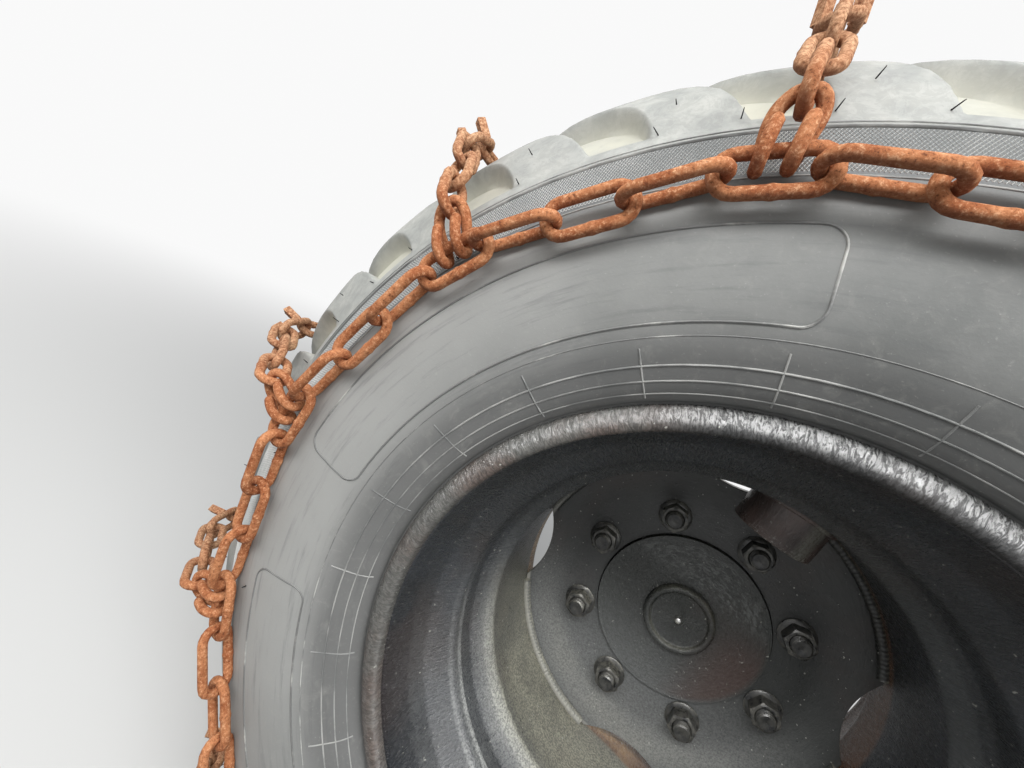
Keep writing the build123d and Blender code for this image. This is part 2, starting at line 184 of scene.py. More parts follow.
def rounded(profile, radius, steps=4):
    """Open profile with its corners rounded."""
    result = [tuple(profile[0])]
    for before, here, after in zip(profile, profile[1:], profile[2:]):
        here = np.array(here, float)
        before = np.array(before, float) - here
        after = np.array(after, float) - here
        lengths = np.linalg.norm(before), np.linalg.norm(after)
        cut = min(radius, 0.45 * lengths[0], 0.45 * lengths[1])
        start = here + before / lengths[0] * cut
        end = here + after / lengths[1] * cut
        for k in range(steps + 1):
            t = k / steps
            result.append(tuple((1 - t) ** 2 * start + 2 * t * (1 - t) * here + t * t * end))
    return result + [tuple(profile[-1])]


def rotation(axis, degrees):
    """Matrix that turns about an axis."""
    return np.array(Matrix.Rotation(math.radians(degrees), 3, axis))


def at_angle(angle):
    """Matrix that takes what is built at the top of the wheel to an angle."""
    return rotation("Y", 90 - angle)


def placed(points, matrix, offset=(0, 0, 0)):
    """Points turned by a matrix, then moved."""
    return points @ matrix.T + offset


def tube(path, radii, sides, closed, square=False):
    """Bar along a path of points, of one or many radii, its section round or square."""
    path = np.asarray(path, float)
    count = len(path)
    radii = np.broadcast_to(radii, count)
    if closed:
        tangents = np.roll(path, -1, 0) - np.roll(path, 1, 0)
    else:
        tangents = np.gradient(path, axis=0)
    tangents /= np.linalg.norm(tangents, axis=1)[:, None]
    start = Vector(tangents[0])
    normal = start.orthogonal().normalized()
    points = []
    turn = math.pi / sides if square else 0.0
    for k in range(count):
        tangent = Vector(tangents[k])
        if k:
            normal = Vector(tangents[k - 1]).rotation_difference(tangent) @ normal
            normal = (normal - normal.dot(tangent) * tangent).normalized()
        other = tangent.cross(normal)
        for i in range(sides):
            a = turn + 2 * math.pi * i / sides
            offset = normal * math.cos(a) + other * math.sin(a)
            points.append(path[k] + np.array(offset) * radii[k])
    faces = grid_faces(count, sides, wrap_rows=closed)
    if not closed:
        faces.append(tuple(range(sides))[::-1])
        faces.append(tuple(range((count - 1) * sides, count * sides)))
    return np.array(points), faces


def link_shape(half_length, half_width, seed):
    """Round-bar link lying flat along X, its weld a swelling in the middle of one side."""
    dice = random.Random(seed)
    straight = half_length - half_width
    along = (-1.0, -0.55, -0.28, -0.14, -0.07, 0.0, 0.07, 0.14, 0.28, 0.55, 1.0)
    bend = [math.radians(20 * k - 90) for k in range(1, 9)]
    end = [(straight + half_width * math.cos(a), half_width * math.sin(a)) for a in bend]
    path = [(-t * straight, half_width, 0) for t in along]
    path += [(-x, -y, 0) for x, y in end]
    path += [(t * straight, -half_width, 0) for t in (-1.0, -0.5, 0.0, 0.5, 1.0)]
    path += [(x, y, 0) for x, y in end]
    radii = []
    for x, y, z in path:
        radius = BAR / 2 * (1 + 0.03 * (dice.random() - 0.5))
        if y > 0.99 * half_width:
            radius *= 1 + 0.14 * math.exp(-((x + 0.8) / 2.4) ** 2)
        radii.append(radius)
    return tube(path, radii, 10, True)


# Materials

class Nodes:
    """Short names for building the node tree of a material or the world."""

    def __init__(self, owner):
        owner.use_nodes = True
        self.tree = owner.node_tree

    def feed(self, node, *inputs):
        """Gives inputs of a node, by name or number, their number, colour or link."""
        for name, value in inputs:
            socket = node.inputs[name]
            if isinstance(value, bpy.types.NodeSocket):
                self.tree.links.new(value, socket)
            else:
                socket.default_value = value + (1.0,) if socket.type == "RGBA" else value

    def new(self, kind, *inputs, **settings):
        node = self.tree.nodes.new(kind)
        for key, value in settings.items():
            setattr(node, key, value)
        self.feed(node, *inputs)
        return node

    def show(self, factor, first, second, output):
        """Mix of two shaders as the tree's output."""
        both = self.new("ShaderNodeMixShader", (0, factor), (1, first), (2, second))
        self.feed(self.tree.nodes[output], ("Surface", both.outputs["Shader"]))

    def math(self, operation, *values, clamp=False):
        node = self.new("ShaderNodeMath", *enumerate(values), operation=operation, use_clamp=clamp)
        return node.outputs["Value"]


class Paint(Nodes):
    """New material with its shader's plain values, and short names for its textures."""

    def __init__(self, name, metallic=0.0, roughness=0.6, specular=0.5, coat=0.0):
        self.material = bpy.data.materials.new(name)
        super().__init__(self.material)
        self.shader = self.tree.nodes["Principled BSDF"]
        self.feed(self.shader, ("Metallic", metallic), ("Roughness", roughness),
                  ("Specular IOR Level", specular), ("Coat Weight", coat))
        self.place = self.new("ShaderNodeTexCoord").outputs["Object"]

    def scaled(self, scale, place=None):
        node = self.new("ShaderNodeMapping", ("Scale", scale), ("Vector", place or self.place))
        return node.outputs["Vector"]

    def noise(self, scale, detail=4.0, rough=0.55, place=None, distortion=0.0):
        node = self.new("ShaderNodeTexNoise", ("Scale", scale), ("Detail", detail), ("Roughness", rough),
                        ("Distortion", distortion), ("Vector", place or self.place))
        return node.outputs["Fac"]

    def ramp(self, value, low, high, start=0.0, end=1.0):
        """Smooth step from one level to another as a value goes from low to high."""
        node = self.new("ShaderNodeMapRange", ("Value", value), ("From Min", low), ("From Max", high),
                        ("To Min", start), ("To Max", end), interpolation_type="SMOOTHSTEP")
        return node.outputs["Result"]

    def times(self, *values):
        """Product of several values."""
        product = values[0]
        for value in values[1:]:
            product = self.math("MULTIPLY", product, value)
        return product

    def mix(self, factor, a, b):
        node = self.new("ShaderNodeMix", ("Factor", factor), ("A", a), ("B", b), data_type="RGBA")
        return node.outputs["Result"]

    def upward(self):
        """How far a surface faces up, from -1 to 1."""
        normal = self.new("ShaderNodeNewGeometry").outputs["Normal"]
        return self.new("ShaderNodeSeparateXYZ", ("Vector", normal)).outputs["Z"]

    def part(self, axis):
        """The place's X, Y or Z in metres."""
        return self.new("ShaderNodeSeparateXYZ", ("Vector", self.place)).outputs[axis]

    def radius(self):
        """Distance from the axle in metres."""
        squares = [self.math("POWER", self.part(axis), 2.0) for axis in "XZ"]
        return self.math("SQRT", self.math("ADD", *squares))

    def round_place(self, scale):
        """Place unrolled round the axle: along the turn, outward and along the axle, then scaled."""
        turn = self.times(self.math("ARCTAN2", self.part("X"), self.part("Z")), 0.28)
        join = self.new("ShaderNodeCombineXYZ", *enumerate((turn, self.radius(), self.part("Y"))))
        return self.scaled(scale, join.outputs["Vector"])

    def bands(self, value, low, high, stops):
        """Smooth steps between levels along a value."""
        node = self.new("ShaderNodeValToRGB", ("Fac", self.ramp(value, low, high)))
        node.color_ramp.interpolation = "EASE"
        elements = node.color_ramp.elements
        while len(elements) < len(stops):
            elements.new(0.5)
        for element, (place, level) in zip(elements, stops):
            element.position = (place - low) / (high - low)
            element.color = (level, level, level, 1.0)
        return node.outputs["Color"]

    def attribute(self, name):
        return self.new("ShaderNodeAttribute", attribute_name=name).outputs["Fac"]

    def finish(self, colour, roughness, height, strength, distance):
        """The material with its colour, its roughness and a bump from a height."""
        bump = self.new("ShaderNodeBump", ("Strength", strength), ("Distance", distance),
                        ("Height", height)).outputs["Normal"]
        self.feed(self.shader, ("Base Color", colour), ("Roughness", roughness), ("Normal", bump))
        if self.shader.inputs["Coat Weight"].default_value:
            self.feed(self.shader, ("Coat Normal", bump))
        return self.material


def rubber_material():
    """Dusty weathered rubber, paler on the shoulder and beige in the pockets, and darker in the knurled
    band as painted shade between its ridges.
    """
    n = Paint("dusty_rubber", specular=0.4)
    cloud = n.noise(9.0, 6.0, 0.62)
    blotch = n.noise(38.0, 5.0, 0.6)
    fine = n.noise(420.0, 3.0, 0.6)
    scuff = n.noise(150.0, 6.0, 0.75, n.scaled((1.0, 0.4, 1.0)))
    streak = n.noise(16.0, 6.0, 0.7, n.round_place((1.0, 9.0, 3.0)))
    colour = n.mix(n.ramp(cloud, 0.3, 0.7), (0.165, 0.17, 0.165), (0.245, 0.248, 0.24))
    colour = n.mix(n.ramp(n.part("X"), -0.12, -0.42, 0.0, 0.75), colour, (0.40, 0.40, 0.385))
    colour = n.mix(n.ramp(streak, 0.5, 0.72, 0.0, 0.45), colour, (0.14, 0.144, 0.146))
    colour = n.mix(n.ramp(n.radius(), 0.362, 0.325, 0.0, 0.7), colour, (0.105, 0.106, 0.105))
    shoulder = n.attribute("shoulder")
    pale = n.mix(n.ramp(blotch, 0.3, 0.7), (0.33, 0.34, 0.325), (0.47, 0.475, 0.445))
    colour = n.mix(n.times(shoulder, n.ramp(cloud, 0.2, 0.75, 0.7, 1.0)), colour, pale)
    crack = n.ramp(n.noise(60.0, 8.0, 0.8, distortion=1.6), 0.49, 0.515)
    crack = n.times(n.math("SUBTRACT", 1.0, crack), shoulder, 0.18)
    colour = n.mix(crack, colour, (0.17, 0.17, 0.16))
    pocket = n.attribute("pocket")
    colour = n.mix(n.times(pocket, n.ramp(cloud, 0.35, 0.65, 0.6, 1.0)), colour, (0.56, 0.55, 0.465))
    dust = n.times(n.ramp(n.noise(70.0, 6.0, 0.7, distortion=0.8), 0.5, 0.8), 0.35)
    colour = n.mix(dust, colour, (0.34, 0.34, 0.315))
    colour = n.mix(n.ramp(scuff, 0.66, 0.8, 0.0, 0.4), colour, (0.5, 0.5, 0.46))
    colour = n.mix(n.ramp(fine, 0.62, 0.78, 0.0, 0.3), colour, (0.46, 0.46, 0.43))
    # Painted shade: the knurled band's surface between the ridges is darkened as if shaded.
    colour = n.mix(n.attribute("knurl"), colour, (0.14, 0.145, 0.145))
    rough = n.ramp(cloud, 0.3, 0.7, 0.5, 0.72)
    height = n.math("ADD", n.times(blotch, 0.5), n.times(fine, 0.25))
    return n.finish(colour, rough, height, 0.35, 0.0012)


def patchy_material(name, dark, pale, cloud, edges, gloss, grain, bump, depth, **shader):
    """Two tones in cloudy patches over a fine grain."""
    n = Paint(name, **shader)
    patches = n.noise(*cloud)
    colour = n.mix(n.ramp(patches, *edges), dark, pale)
    return n.finish(colour, n.ramp(patches, 0.3, 0.7, *gloss), n.noise(*grain), bump, depth)


def rib_material(name, dark, pale, low, high):
    """Moulded ribs with their dust rubbed pale in places."""
    return patchy_material(name, dark, pale, (18.0, 5.0, 0.6), (low, high), (0.55, 0.75),
                           (600.0, 2.0), 0.2, 0.0004, specular=0.35)


def rust_material():
    """Pitted orange-brown rust, with tan dust on the tread side and painted shade on the sides that face
    down.
    """
    n = Paint("pitted_rust", specular=0.2)
    cloud = n.noise(42.0, 6.0, 0.65)
    grain = n.noise(330.0, 8.0, 0.78)
    pits = n.noise(700.0, 4.0, 0.7)
    colour = n.mix(n.ramp(cloud, 0.34, 0.66), (0.33, 0.105, 0.040), (0.56, 0.235, 0.105))
    colour = n.mix(n.ramp(grain, 0.5, 0.66, 0.0, 0.85), colour, (0.80, 0.46, 0.26))
    colour = n.mix(n.ramp(grain, 0.47, 0.36, 0.0, 0.85), colour, (0.115, 0.040, 0.022))
    colour = n.mix(n.ramp(pits, 0.62, 0.70, 0.0, 0.6), colour, (0.10, 0.035, 0.02))
    tread = n.ramp(n.radius(), 0.47, 0.54)
    tan = n.times(tread, n.ramp(cloud, 0.3, 0.7, 0.35, 0.8))
    colour = n.mix(tan, colour, n.mix(n.ramp(grain, 0.38, 0.62), (0.24, 0.12, 0.065), (0.72, 0.47, 0.29)))
    # Painted shade: the sides of the links that face down are darkened to a brown-black.
    painted_underside_shade = n.times(n.ramp(n.upward(), -0.15, -0.85), 0.55)
    colour = n.mix(painted_underside_shade, colour, (0.14, 0.055, 0.035))
    height = n.math("ADD", n.times(grain, 0.8), n.times(pits, -0.5))
    return n.finish(colour, n.ramp(grain, 0.3, 0.7, 0.92, 0.7), height, 0.85, 0.0011)


def paint_material(name, tone, stroke_scale, gloss=(0.2, 0.42), dusty=0.5, specular=0.6, coat=0.3,
                   bump=0.45, marks=None, coat_ior=1.5, depth=0.0016, coat_rough=0.16):
    """Brushed-on gloss black paint with its strokes, brown tint, specks and dust where it lies."""
    n = Paint(name, specular=specular, coat=coat)
    n.feed(n.shader, ("Coat Roughness", coat_rough), ("Coat IOR", coat_ior))
    cloud = n.noise(11.0, 5.0, 0.6)
    speck = n.noise(430.0, 3.0, 0.7)
    stroke = n.noise(30.0, 7.0, 0.72, n.round_place(stroke_scale), 0.5)
    colour = n.mix(n.ramp(cloud, 0.35, 0.7), tone, tuple(2.0 * c for c in tone))
    brown = n.times(n.ramp(n.noise(6.5, 4.0), 0.5, 0.66), 0.3)
    colour = n.mix(brown, colour, (0.060, 0.036, 0.028))
    lying = n.times(n.ramp(n.upward(), -0.05, 0.9), dusty)
    lying = n.times(lying, n.ramp(n.noise(17.0, 7.0, 0.7), 0.3, 0.65, 0.55, 1.0))
    if marks:
        colour, lying = marks(n, colour, lying, speck)
    dust_tone = n.mix(n.ramp(n.part("Y"), -0.40, -0.345), (0.54, 0.55, 0.53), (0.50, 0.485, 0.375))
    spots = n.math("MULTIPLY", lying, n.ramp(speck, 0.40, 0.60, 0.4, 1.05), clamp=True)
    colour = n.mix(spots, colour, dust_tone)
    colour = n.mix(n.ramp(speck, 0.67, 0.74, 0.0, 0.6), colour, (0.30, 0.295, 0.26))
    colour = n.mix(n.ramp(n.noise(240.0, 1.0), 0.74, 0.77, 0.0, 0.8), colour, (0.50, 0.50, 0.45))
    rough = n.math("ADD", n.ramp(stroke, 0.3, 0.7, *gloss), n.times(spots, 0.35), clamp=True)
    height = n.math("ADD", stroke, n.times(n.noise(70.0, 3.0), 0.5))
    return n.finish(colour, rough, height, bump, depth)


def rim_marks(n, colour, lying, speck):
    """Dust on the bends and slopes of the barrel, partly painted sheen on the bends, none on the roll;
    ochre behind the disc, partly painted light from behind, with painted shade on its right.
    """
    deep = n.part("Y")
    # Dust on the barrel's bands; its bright lines at the bends are partly a painted highlight of their
    # sheen.
    level = n.bands(deep, -0.53, -0.20, (
        (-0.530, 0.0), (-0.512, 0.04), (-0.506, 0.16), (-0.466, 0.14), (-0.462, 0.6),
        (-0.457, 0.26), (-0.450, 0.42), (-0.445, 0.95), (-0.441, 0.9), (-0.438, 0.2),
        (-0.414, 0.18), (-0.402, 0.34), (-0.394, 0.42), (-0.388, 0.6), (-0.385, 1.0),
        (-0.366, 1.0), (-0.360, 0.42), (-0.336, 0.5), (-0.300, 0.72), (-0.262, 0.66)))
    lying = n.times(lying, level)
    # Paler grey on one slope, part dust and part painted sheen.
    slope = n.bands(deep, -0.53, -0.20, (
        (-0.53, 0.0), (-0.44, 0.05), (-0.402, 0.1), (-0.396, 0.45), (-0.370, 0.45), (-0.364, 0.08)))
    colour = n.mix(n.times(slope, n.ramp(speck, 0.3, 0.65, 0.5, 1.0)), colour, (0.13, 0.138, 0.14))
    # Painted shade: the ochre behind the disc darkens on the right. Its paler tones are partly painted
    # light from behind, over the well's own rusty colour.
    shaded_side = n.ramp(n.part("X"), 0.02, 0.10)
    ochre = n.mix(n.ramp(n.noise(30.0, 6.0, 0.7), 0.3, 0.65), (0.20, 0.11, 0.06), (0.62, 0.40, 0.20))
    ochre = n.mix(shaded_side, ochre, (0.14, 0.075, 0.048))
    behind = n.ramp(n.math("ADD", deep, n.times(shaded_side, 0.022)), -0.247, -0.239)
    return n.mix(behind, colour, ochre), n.times(lying, n.math("SUBTRACT", 1.0, behind))


def lip_marks(n, colour, lying, speck):
    """Short pale brush strokes on the lip's outer part away from its left, a painted highlight, and a
    brownish film of dust on its left.
    """
    strokes = n.ramp(n.noise(30.0, 5.0, 0.65, n.round_place((12.0, 4.0, 4.0)), 1.4), 0.44, 0.57)
    outer = n.ramp(n.radius(), 0.2825, 0.2885, 0.12, 1.0)
    n.feed(n.shader, ("Coat Weight", n.times(outer, n.ramp(strokes, 0.0, 1.0, 0.3, 1.0))))
    # Painted highlight: pale strokes on the lip's outer part, kept off its left side where the film is.
    pale = n.mix(n.times(strokes, outer), colour, (0.33, 0.33, 0.325))
    film = n.mix(n.ramp(n.noise(13.0, 4.0), 0.4, 0.62), (0.165, 0.162, 0.148), (0.155, 0.120, 0.102))
    left = n.mix(n.ramp(strokes, 0.0, 1.0, 0.5, 0.95), colour, film)
    return n.mix(n.ramp(n.part("X"), -0.12, -0.21), pale, left), lying


def hub_marks(n, colour, lying, speck):
    """The disc's tint and film, and pale brushed strokes over the cap painted on as a highlight."""
    glint_arcs = n.ramp(n.noise(30.0, 6.0, 0.7, n.round_place((1.2, 9.0, 3.0)), 0.7), 0.46, 0.58)
    over = n.times(n.ramp(n.part("Z"), 0.035, 0.065), n.ramp(n.radius(), 0.108, 0.098))
    # Painted highlight: pale curved brush strokes on the hub face above the cap.
    colour = n.mix(n.times(glint_arcs, over, 0.75), colour, (0.20, 0.21, 0.20))
    return disc_marks(n, colour, lying, speck)


def disc_marks(n, colour, lying, speck):
    """A paler grey, in specks, low on the disc and a brown tint to its right."""
    film = n.times(n.ramp(n.part("Z"), 0.03, -0.16), n.ramp(speck, 0.3, 0.66, 0.5, 1.0))
    colour = n.mix(n.times(film, 0.85), colour, (0.25, 0.257, 0.257))
    rim = n.times(n.ramp(n.radius(), 0.2135, 0.2165), n.ramp(n.part("X"), 0.06, -0.06))
    colour = n.mix(n.times(rim, n.ramp(n.part("Z"), 0.08, -0.02, 0.0, 0.85)), colour, (0.46, 0.45, 0.40))
    side = n.times(n.ramp(n.part("X"), 0.02, 0.085), n.ramp(n.radius(), 0.112, 0.102))
    side = n.times(side, n.ramp(n.part("Z"), 0.07, 0.0))
    return n.mix(n.times(side, 0.75), colour, (0.085, 0.045, 0.036)), lying


def guard_marks(n, colour, lying, speck):
    """Reddish-brown paint with pale specks toward the open end, and a painted reflection down its right
    side.
    """
    tint = n.ramp(n.noise(24.0, 4.0), 0.36, 0.6, 0.35, 1.0)
    colour = n.mix(tint, colour, (0.125, 0.085, 0.074))
    # Painted reflection: pale specks in a band down the pipe's right side.
    reflex_stripe = n.times(n.ramp(n.part("X"), 0.008, 0.020), n.ramp(n.part("X"), 0.034, 0.024))
    colour = n.mix(n.times(reflex_stripe, n.ramp(speck, 0.35, 0.6, 0.3, 0.9)), colour, (0.27, 0.265, 0.225))
    low = n.ramp(n.part("Z"), 0.190, 0.174)
    return n.mix(n.times(low, n.ramp(speck, 0.55, 0.66)), colour, (0.50, 0.48, 0.43)), lying


def steel_material():
    """Black paint on the nuts and studs, worn to grey at a few corners."""
    n = Paint("worn_stud_steel", metallic=0.15, specular=0.6, coat=0.3)
    n.feed(n.shader, ("Coat Roughness", 0.2))
    cloud = n.noise(120.0, 5.0, 0.65)
    colour = n.mix(n.ramp(cloud, 0.35, 0.68), (0.024, 0.025, 0.026), (0.080, 0.078, 0.070))
    edges = n.ramp(n.new("ShaderNodeNewGeometry").outputs["Pointiness"], 0.53, 0.60)
    wear = n.times(edges, n.ramp(cloud, 0.38, 0.58, 0.1, 0.85))
    colour = n.mix(wear, colour, (0.36, 0.345, 0.30))
    low = n.ramp(n.part("X"), 0.05, -0.10, 0.25, 1.0)
    dust = n.times(n.ramp(n.upward(), 0.05, 0.8), n.ramp(n.noise(260.0, 4.0), 0.38, 0.62, 0.15, 0.8))
    colour = n.mix(n.times(dust, low), colour, (0.38, 0.365, 0.30))
    return n.finish(colour, n.ramp(cloud, 0.3, 0.7, 0.24, 0.5), n.noise(400.0, 4.0), 0.4, 0.0006)


rubber = rubber_material()
rib_rubber = rib_material("rubbed_rib", (0.18, 0.184, 0.18), (0.39, 0.39, 0.375), 0.4, 0.62)
knurl_rubber = rib_material("rubbed_knurl", (0.40, 0.41, 0.40), (0.62, 0.62, 0.60), 0.3, 0.7)
panel_rubber = rib_material("panel_edge", (0.19, 0.192, 0.188), (0.52, 0.52, 0.49), 0.50, 0.66)
rust = rust_material()
rim_paint = paint_material(
    "brushed_black_rim", (0.013, 0.0155, 0.0195), (13.0, 4.0, 4.0), (0.16, 0.38), dusty=1.2,
    specular=0.8, coat=0.5, bump=0.8, marks=rim_marks)
lip_paint = paint_material(
    "brushed_black_lip", (0.018, 0.0185, 0.019), (9.0, 3.0, 3.0), (0.14, 0.30), dusty=0.2,
    coat=1.0, bump=1.0, marks=lip_marks, coat_ior=2.2, depth=0.0018, coat_rough=0.14)
guard_paint = paint_material(
    "brushed_black_guard", (0.022, 0.021, 0.021), (8.0, 2.0, 4.0), dusty=0.3, marks=guard_marks)
disc_paint = paint_material(
    "brushed_black_disc", (0.017, 0.0185, 0.0175), (2.0, 9.0, 3.0), (0.26, 0.46), dusty=0.7,
    coat=0.35, marks=disc_marks)
hub_paint = paint_material(
    "brushed_black_hub", (0.014, 0.0165, 0.014), (1.6, 9.0, 4.0), (0.16, 0.36), dusty=0.4,
    coat=0.5, bump=0.8, marks=hub_marks)
axle_paint = paint_material(
    "worn_black_axle", (0.020, 0.020, 0.022), (3.0, 3.0, 3.0), (0.35, 0.6), dusty=0.9, coat=0.0)
steel = steel_material()
brass = patchy_material(
    "tarnished_brass", (0.20, 0.14, 0.055), (0.48, 0.36, 0.17), (160.0, 5.0, 0.6), (0.35, 0.65),
    (0.55, 0.3), (500.0, 3.0), 0.3, 0.0004, metallic=1.0)
zinc = patchy_material(
    "zinc_nipple", (0.60, 0.59, 0.55), (0.82, 0.82, 0.80), (300.0, 4.0, 0.6), (0.35, 0.65),
    (0.45, 0.25), (700.0, 3.0), 0.25, 0.0003, metallic=1.0)
seal = patchy_material(
    "seal_rubber", (0.012, 0.012, 0.013), (0.04, 0.038, 0.036), (90.0, 4.0), (0.35, 0.65),
    (0.7, 0.85), (500.0, 3.0), 0.3, 0.0005, specular=0.3)


# Tyre

# Sidewall from the bead to the foot of the lugs: half width and radius
SIDEWALL = [
    (196.0, 286.5), (203.5, 287.5), (205.8, 293.0), (206.2, 300.2), (211.0, 301.2),
    (216.5, 303.4), (221.5, 307.5), (226.0, 313.0), (229.5, 319.0), (233.0, 326.0),
    (237.5, 335.0), (242.5, 348.0), (246.5, 362.0), (249.0, 378.0), (250.0, 395.0),
    (250.0, 412.0), (249.7, 428.0), (248.5, 440.0), (246.0, 449.0), (241.5, 458.0),
    (236.0, 468.0), (230.0, 478.5), (224.5, 488.0), (221.0, 494.0), (216.5, 500.5),
]
# Ticks across the ribs round the bead
TICK_COUNT = 23
TICK_FIRST_ANGLE = 111.9
# Radius the lugs' sweep is measured at, and the knurled band's middle radius and half width
SWEEP_RADIUS = 560.0
KNURL_MIDDLE = 469.0
KNURL_REACH = 20.5
# Places across half a lug's pitch, as a share of it, close together at the lug's walls
HALF_PITCH = [0.0, 0.09, 0.145, 0.168, 0.182, 0.195, 0.208, 0.221, 0.234, 0.247, 0.26,
              0.273, 0.286, 0.299, 0.315, 0.34, 0.38, 0.44]
# Half width and radius of the lugs' surface and of the grooves' floor by row, and the lugs' sweep
LUG_ROWS = [
    (212, 506, 212, 506, 0), (208.5, 513.5, 205, 508.5, 1), (204.5, 522, 199, 513, 3),
    (200, 531, 193, 518.5, 6), (195, 540, 187, 524.5, 10.5), (189.5, 548.5, 181, 531, 16),
    (183.5, 556, 175.5, 537, 23), (177, 563, 170, 542.5, 32), (170.5, 569, 164.5, 547.5, 42.5),
    (164, 574.2, 159, 552, 55), (157.5, 578.3, 153.5, 555.5, 69), (150.5, 581.3, 147.5, 558, 84),
    (142.5, 583.2, 141, 559.5, 98), (132, 584.3, 131.5, 560.5, 113), (118, 585, 118, 561, 128),
    (98, 585.4, 98, 561.5, 143), (74, 585.7, 74, 562, 156), (50, 585.8, 50, 562, 166),
    (30, 585.8, 30, 562, 174), (25.5, 585, 26, 562, 175.6), (22.5, 582, 23, 562, 176.5),
    (20.5, 575, 21, 562, 177.2), (18.5, 566, 19.5, 562, 178), (15.5, 562.5, 16, 562, 179),
    (9, 562, 9, 562, 181), (0, 562, 0, 562, 183),
]


def lug_share(u, row):
    """How much of the lug stands at a place across the pitch, from 0 in the groove to 1."""
    up = min(1.0, row / 11.0)
    if u < 0:
        top, foot = 0.285 - 0.05 * up, 0.315 - 0.02 * up
    else:
        top, foot = 0.262 - 0.07 * up, 0.318 - 0.035 * up
    t = min(1.0, max(0.0, (foot - abs(u)) / (foot - top)))
    return t * t * (3 - 2 * t)


def tyre_surface():
    """Tyre skin that carries for its rubber where it is shoulder, pocket or knurled band."""
    columns = [-0.5] + [-u for u in HALF_PITCH[:0:-1]] + HALF_PITCH
    pitch = 360.0 / LUG_COUNT
    base = np.array([LUG_BASE_ANGLE - pitch * (k + u) for k in range(LUG_COUNT) for u in columns])
    ones = np.ones(len(base))
    half = []
    for w, r in SIDEWALL:
        half.append((w * ones, r * ones, 0.0, ones * min(1.0, max(0.0, (r - 440) / 50)), ones * 0))
    for j, (top_w, top_r, floor_w, floor_r, sweep) in enumerate(LUG_ROWS):
        share = np.array([lug_share(u, j) for u in columns] * LUG_COUNT)
        w = floor_w + (top_w - floor_w) * share
        r = floor_r + (top_r - floor_r) * share
        deep = (1 - share) * min(1.0, j / 3.0) * (1.0 if j < 18 else 0.6)
        half.append((w, r, sweep, ones, deep))
    rows = []
    marks = {"shoulder": [], "pocket": [], "knurl": []}
    for side, part in ((1, half), (-1, half[-2::-1])):
        for w, r, sweep, light, deep in part:
            rows.append(round_axle(base + np.degrees(sweep / SWEEP_RADIUS), r, RIM_MID_Y - side * w))
            knurled = (np.abs(r - KNURL_MIDDLE) < KNURL_REACH) & (sweep == 0.0)
            for name, values in zip(marks, (light, deep, np.where(knurled, 1.0, 0.0))):
                marks[name].append(values)
    build = Build()
    build.add(np.concatenate(rows), grid_faces(len(rows), len(base), wrap_rows=True))
    made = build.piece("tyre_body", rubber, 46.0, "tyre")
    for name, values in marks.items():
        layer = made.data.attributes.new(name, "FLOAT", "POINT")
        layer.data.foreach_set("value", np.concatenate(values).astype(np.float32))


def on_sidewall(angle, radius, lift=0.0):
    """Point on the outer sidewall."""
    half_width = np.interp(radius, [r for w, r in SIDEWALL[3:]], [w for w, r in SIDEWALL[3:]])
    return round_axle(angle, radius, RIM_MID_Y - half_width - lift)


def rings():
    """Concentric moulded ribs round the bead, the double rib over the knurled band, and cross ticks."""
    build = Build()
    for radius, wide in ((306.5, 0.65), (315.5, 0.75), (326.5, 0.85),
                         (447.5, 0.7), (490.0, 1.5), (494.5, 0.8)):
        build.add(*tube([on_sidewall(a, radius) for a in range(360)], wide, 6, True))
    for k in range(TICK_COUNT):
        angle = TICK_FIRST_ANGLE + k * 360.0 / TICK_COUNT
        reach = 303.5, 309.0, 315.5, 321.0, 327.0, 333.0, 339.0
        build.add(*tube([on_sidewall(angle, r) for r in reach], 0.75, 6, False))
    build.piece("tyre_ribs", rib_rubber, 60.0)


def knurled_band():
    """Two crossing sets of fine ridges between the side chain and the shoulder."""
    build = Build()
    low, high, count = 450.5, 488.0, 1120
    radii = np.linspace(low, high, 6)
    ridge = (-0.045, -0.1), (0.0, 0.45), (0.045, -0.1)
    for lean in (-1, 1):
        for k in range(count):
            angle = 360.0 * k / count
            points = []
            for r in radii:
                a = angle + lean * (r - low) * 0.08
                points += [on_sidewall(a + aside, r, lift) for aside, lift in ridge]
            build.add(points, grid_faces(len(radii), 3, wrap_columns=False))
    build.piece("tyre_knurling", knurl_rubber, 20.0)


def panel_outline(first, last):
    """Raised line round a bare panel on the sidewall between two angles, its corners rounded."""
    low, high, corner = 355.0, 417.0, 14.0
    turn = math.degrees(corner * 2 / (low + high))
    corners = []
    for start, angle, radius in ((0, last - turn, high - corner), (90, first + turn, high - corner),
                                 (180, first + turn, low + corner), (270, last - turn, low + corner)):
        for k in range(9):
            a = math.radians(start + k * 90 / 8)
            corners.append((angle + turn * math.cos(a), radius + corner * math.sin(a)))
    path = []
    for here, after in zip(corners, corners[1:] + corners[:1]):
        steps = max(1, int(abs(after[0] - here[0]) / 1.2), int(abs(after[1] - here[1]) / 6.0))
        for k in range(steps):
            t = k / steps
            path.append((here[0] + (after[0] - here[0]) * t, here[1] + (after[1] - here[1]) * t))
    return [on_sidewall(a, r) for a, r in path]


def panels():
    """Four bare panels and the thin line inside them."""
    build = Build()
    for first, last in ((110.0, 176.0), (196.0, 250.0), (40.0, 92.0), (290.0, 356.0)):
        path = panel_outline(first, last)
        build.add(*tube(path, 0.95, 6, True))
    build.add(*tube([on_sidewall(a, 346.0, -0.2) for a in range(360)], 0.6, 5, True))
    build.piece("tyre_panel_lines", panel_rubber, 60.0)


